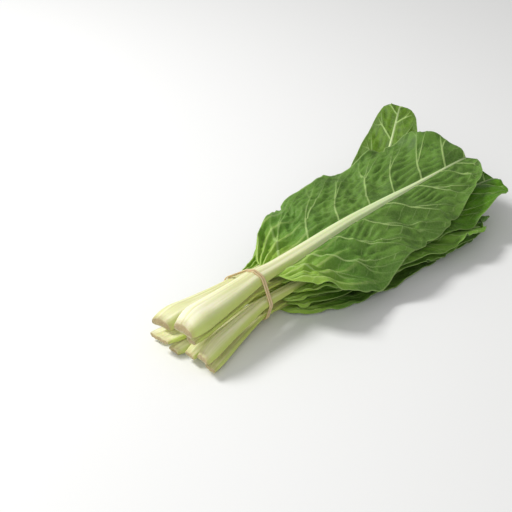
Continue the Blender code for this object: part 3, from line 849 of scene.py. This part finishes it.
class Shader:
    """A material's nodes, added by short calls that take a number, a colour or another node's output."""

    def __init__(self, name):
        self.material = bpy.data.materials.new(name)
        self.material.use_nodes = True
        self.tree = self.material.node_tree
        self.surface = self.tree.nodes["Principled BSDF"]

    def feed(self, socket, value):
        if isinstance(value, bpy.types.NodeSocket):
            self.tree.links.new(value, socket)
        else:
            socket.default_value = value

    def give(self, name, value):
        self.feed(self.surface.inputs[name], value)

    def value(self, name):
        node = self.tree.nodes.new("ShaderNodeAttribute")
        node.attribute_name = name
        return node.outputs["Fac"]

    def times(self, first, last):
        return self.math("MULTIPLY", first, last)

    def math(self, operation, *values):
        node = self.tree.nodes.new("ShaderNodeMath")
        node.operation = operation
        for socket, value in zip(node.inputs, values):
            self.feed(socket, value)
        return node.outputs[0]

    def mix(self, share, first, last):
        node = self.tree.nodes.new("ShaderNodeMix")
        node.data_type = "RGBA"
        self.feed(node.inputs[0], share)
        self.feed(node.inputs[6], first)
        self.feed(node.inputs[7], last)
        return node.outputs[2]

    def rise(self, value, low, high, first=0.0, last=1.0):
        """first below low, last above high, and a smooth rise or fall between them."""
        node = self.tree.nodes.new("ShaderNodeMapRange")
        node.interpolation_type = "SMOOTHSTEP"
        for socket, given in zip(node.inputs, (value, low, high, first, last)):
            self.feed(socket, given)
        return node.outputs[0]

    def from_whole(self, value):
        """How far a value is from the nearest whole number."""
        from_half = self.math("ABSOLUTE", self.math("SUBTRACT", self.math("FRACT", value), 0.5))
        return self.math("SUBTRACT", 0.5, from_half)

    def places(self):
        return self.tree.nodes.new("ShaderNodeTexCoord").outputs["Object"]

    def vector(self, x, y, z):
        node = self.tree.nodes.new("ShaderNodeCombineXYZ")
        for socket, value in zip(node.inputs, (x, y, z)):
            self.feed(socket, value)
        return node.outputs[0]

    def noise(self, where, scale, detail=2.0):
        node = self.tree.nodes.new("ShaderNodeTexNoise")
        self.feed(node.inputs["Vector"], where)
        node.inputs["Scale"].default_value = scale
        node.inputs["Detail"].default_value = detail
        return node.outputs["Fac"]

    def cells(self, where, scale):
        """How far each place is from the edge of its cell."""
        node = self.tree.nodes.new("ShaderNodeTexVoronoi")
        node.feature = "DISTANCE_TO_EDGE"
        self.feed(node.inputs["Vector"], where)
        node.inputs["Scale"].default_value = scale
        return node.outputs["Distance"]

    def bump(self, height, distance):
        node = self.tree.nodes.new("ShaderNodeBump")
        node.inputs["Distance"].default_value = distance
        self.feed(node.inputs["Height"], height)
        self.give("Normal", node.outputs[0])


def tint(colour, by):
    return (*(part * by for part in colour), 1)


class Pattern:
    """What a leaf's material reads at each place, and the masks that it draws from that."""

    def __init__(self, s):
        where, gap, share, reach = s.places(), s.value("rib_gap"), s.value("blade_share"), s.value("reach")
        self.where, self.share, self.reach = where, share, reach
        self.side, self.back = s.value("rib_side"), s.value("back")
        self.patches, self.grain = s.noise(where, PATCHES, 3), s.noise(where, GRAIN, 4)
        between = s.math("MINIMUM", s.from_whole(s.value("vein")), s.from_whole(s.value("fork")))
        between = s.math("MINIMUM", between, s.from_whole(s.value("twig")))
        width = s.rise(share, 0.0, 0.9, 0.00090, 0.00035)
        vein = s.math("DIVIDE", s.times(between, s.value("vein_pitch")), width)
        self.veins = s.times(s.rise(vein, 0.5, 1.6, 1.0, 0.0), s.rise(share, 0.40, 0.95, 0.75, 0.10))
        crease = s.from_whole(s.math("ADD", s.value("pleat"), 0.75))
        self.pleats = s.times(s.rise(crease, 0.03, 0.12, 1.0, 0.0), s.rise(reach, 0.06, 0.34, 0.75, 0.0))
        slanted = s.times(between, BRANCH_SLANT)
        branch = s.math("SUBTRACT", s.math("DIVIDE", gap, BRANCH_SPACING), slanted)
        branch = s.math("ADD", branch, s.times(s.noise(where, 70), 0.5))
        branches = s.rise(s.from_whole(branch), 0.01, 0.055, 1.0, 0.0)
        self.branches = s.times(branches, s.rise(s.noise(where, 45), 0.40, 0.62))
        self.net = s.rise(s.cells(where, NET), 0.0, 0.10, 1.0, 0.0)
        on_rib = s.rise(gap, 0.0002, 0.0014, 1.0, 0.0)
        self.on_rib = s.times(on_rib, s.rise(reach, 0.80, 1.0, 1.0, 0.4))


def blade_colour(s, p, look):
    """Green, duller on the back and with painted shade in the hollows, under a net of pale veins."""
    face = s.mix(p.patches, tint(look.green, 0.70), tint(look.green, 1.25))
    dull = [part * by for part, by in zip(look.green, DULLER)]
    under = s.mix(p.patches, tint(dull, 0.80), tint(dull, 1.20))
    blade = s.mix(p.back, face, under)
    # Painted shade: the hollows between the folds are painted a darker green, their bottoms darkest.
    blade = s.mix(s.rise(s.value("crest"), 0.0, 0.8, 0.44, 0.0), blade, tint(look.green, 0.35))
    # The base of a blade is painted a brighter green on both sides, a painted glow of light shining through
    # it, and it is yellower where it meets the stalk.
    blade = s.mix(s.rise(p.reach, 0.10, 0.42, 0.75, 0.0), blade, tint(look.green, 1.30))
    blade = s.mix(s.rise(p.reach, 0.0, 0.24, 0.85, 0.0), blade, BLADE_BASE)
    blade = s.mix(p.pleats, blade, PLEAT)
    blade = s.mix(s.times(p.net, 0.10), blade, PALE)
    blade = s.mix(s.times(p.branches, 0.26), blade, PALE)
    blade = s.mix(p.veins, blade, PALE)
    return s.mix(s.rise(p.share, 0.975, 1.0, 0.0, 0.45), blade, PALE)


def stalk_colour(s, p, look, streaks):
    """Cream to yellow-green and streaked, with a beige-grey line of painted shade down the middle and
    yellow-green flanks, partly their own colour and partly painted shade.
    """
    streaked = s.rise(streaks, 0.30, 0.70)
    unripe = s.rise(p.reach, -1.0, 0.1, 0.6 * look.unripe, min(look.unripe + 0.15, 1))
    stalk = s.mix(unripe, s.mix(streaked, *CREAM), s.mix(streaked, *SALLOW))
    aside = s.math("ABSOLUTE", s.math("ADD", p.side, s.times(streaks, -0.25)))
    # Painted shade: a beige-grey line down the middle of the stalk, fading out along the rib.
    groove_shade = s.times(s.rise(aside, 0.02, 0.14, 0.45, 0.0), s.rise(p.reach, -0.15, 0.1, 1.0, 0.2))
    stalk = s.mix(groove_shade, stalk, GROOVE_SHADE)
    # The sides are painted yellow-green, partly the stalk's own colour and partly painted shade, so the
    # right side, away from the key light, gets more than the left.
    flank_and_shade = s.math("MAXIMUM", s.rise(p.side, -1.0, -0.55, 1.0, 0.0), s.rise(p.side, 0.75, 1.0, 0.0, 0.6))
    stalk = s.mix(s.times(flank_and_shade, s.rise(p.reach, 0.0, 0.3, 0.85, 0.2)), stalk, FLANK_AND_SHADE)
    return s.mix(s.rise(p.reach, -0.1, 0.6, 0.0, 0.8), stalk, FAR_RIB)


def dried(s, p, colour):
    """The colour with the stalk drying out towards its cut end, and the end itself."""
    dry = s.rise(p.reach, -1.0, -0.95, 0.9, 0.0)
    colour = s.mix(s.times(dry, s.noise(p.where, 260)), colour, DRY)
    end = s.mix(s.noise(p.where, 160, 3), *CUT_END)
    end = s.mix(s.rise(s.cells(p.where, DOTS), 0.02, 0.20, 0.45, 0.0), end, CUT_DOTS)
    return s.mix(s.value("cut_end"), colour, end)


def leaf_material(look):
    """A leaf: pale stalk, rib and veins, a blade that is duller on its back, and a dry cut end."""
    s = Shader(look.node)
    p = Pattern(s)
    across, along = s.times(p.side, 2.4), s.times(p.reach, 1.2)
    streaks = s.noise(s.vector(across, along, look.seed), 1.6, 4)
    colour = s.mix(p.on_rib, blade_colour(s, p, look), stalk_colour(s, p, look, streaks))
    s.give("Base Color", dried(s, p, colour))
    rough = s.math("ADD", s.times(p.back, 0.10), s.times(p.grain, 0.16))
    s.give("Roughness", s.math("ADD", rough, 0.36))
    s.give("Subsurface Weight", 0.12)
    s.give("Subsurface Radius", (0.5, 1.0, 0.2))
    s.give("Subsurface Scale", 0.003)
    s.give("Specular IOR Level", 0.28)
    raised = s.math("ADD", s.times(p.net, 0.35), s.times(p.branches, 0.6))
    raised = s.times(raised, s.rise(p.on_rib, 0.0, 1.0, 1.0, 0.0))
    raised = s.math("ADD", raised, s.times(p.grain, 0.5))
    s.bump(s.math("ADD", raised, s.times(s.times(streaks, p.on_rib), 0.8)), 0.0004)
    return s.material


def rubber_material():
    """Tan rubber, a little darker and duller in patches."""
    s = Shader("rubber")
    where = s.places()
    s.give("Base Color", s.mix(s.noise(where, 90, 3), *RUBBER))
    s.give("Roughness", s.rise(s.noise(where, 400, 3), 0.2, 0.8, 0.45, 0.65))
    s.give("Subsurface Weight", 0.1)
    s.give("Subsurface Scale", 0.001)
    s.bump(s.noise(where, 900, 2), 0.0001)
    return s.material


def add_floor():
    data = bpy.data.meshes.new("floor")
    signs = (-1, -1), (1, -1), (1, 1), (-1, 1)
    data.from_pydata([(x * FLOOR_REACH, y * FLOOR_REACH, 0) for x, y in signs], [], [(0, 1, 2, 3)])
    floor = bpy.data.objects.new("floor", data)
    floor.location.z = -FLOOR_DROP
    bpy.context.scene.collection.objects.link(floor)
    s = Shader("floor")
    s.give("Base Color", FLOOR)
    s.give("Roughness", 0.8)
    data.materials.append(s.material)


def add_light(name, place, size, power):
    """A soft square light that faces the bunch."""
    light = bpy.data.lights.new(name, "AREA")
    light.size, light.energy = size, power
    lamp = bpy.data.objects.new(name, light)
    lamp.location = place
    lamp.rotation_euler = (-Vector(place)).to_track_quat("-Z", "Y").to_euler()
    bpy.context.scene.collection.objects.link(lamp)


def add_studio():
    world = bpy.data.worlds.new("studio")
    world.use_nodes = True
    background = world.node_tree.nodes["Background"]
    background.inputs["Color"].default_value = (1.0, 1.0, 1.0, 1)
    background.inputs["Strength"].default_value = SKY
    bpy.context.scene.world = world
    bpy.context.scene.view_settings.view_transform = "Standard"
    add_light("key", *KEY)
    add_light("fill", *FILL_LIGHT)
    camera = bpy.data.objects.new("camera", bpy.data.cameras.new("camera"))
    camera.data.lens, camera.data.sensor_width = LENS, SENSOR
    level = math.cos(ELEVATION)
    back = Vector((math.sin(AZIMUTH) * level, -math.cos(AZIMUTH) * level, math.sin(ELEVATION)))
    camera.location = AIM + DISTANCE * back
    camera.rotation_euler = (-back).to_track_quat("-Z", "Y").to_euler()
    bpy.context.scene.collection.objects.link(camera)
    bpy.context.scene.camera = camera


def main():
    leaves = [FineLeaf(look) for look in LOOKS]
    add_relief(leaves)
    lay_again(leaves)
    for leaf in leaves:
        leaf.curl()
        add_leaf(leaf, leaf_material(leaf.look))
    add_band(leaves, rubber_material())
    add_floor()
    add_studio()


main()
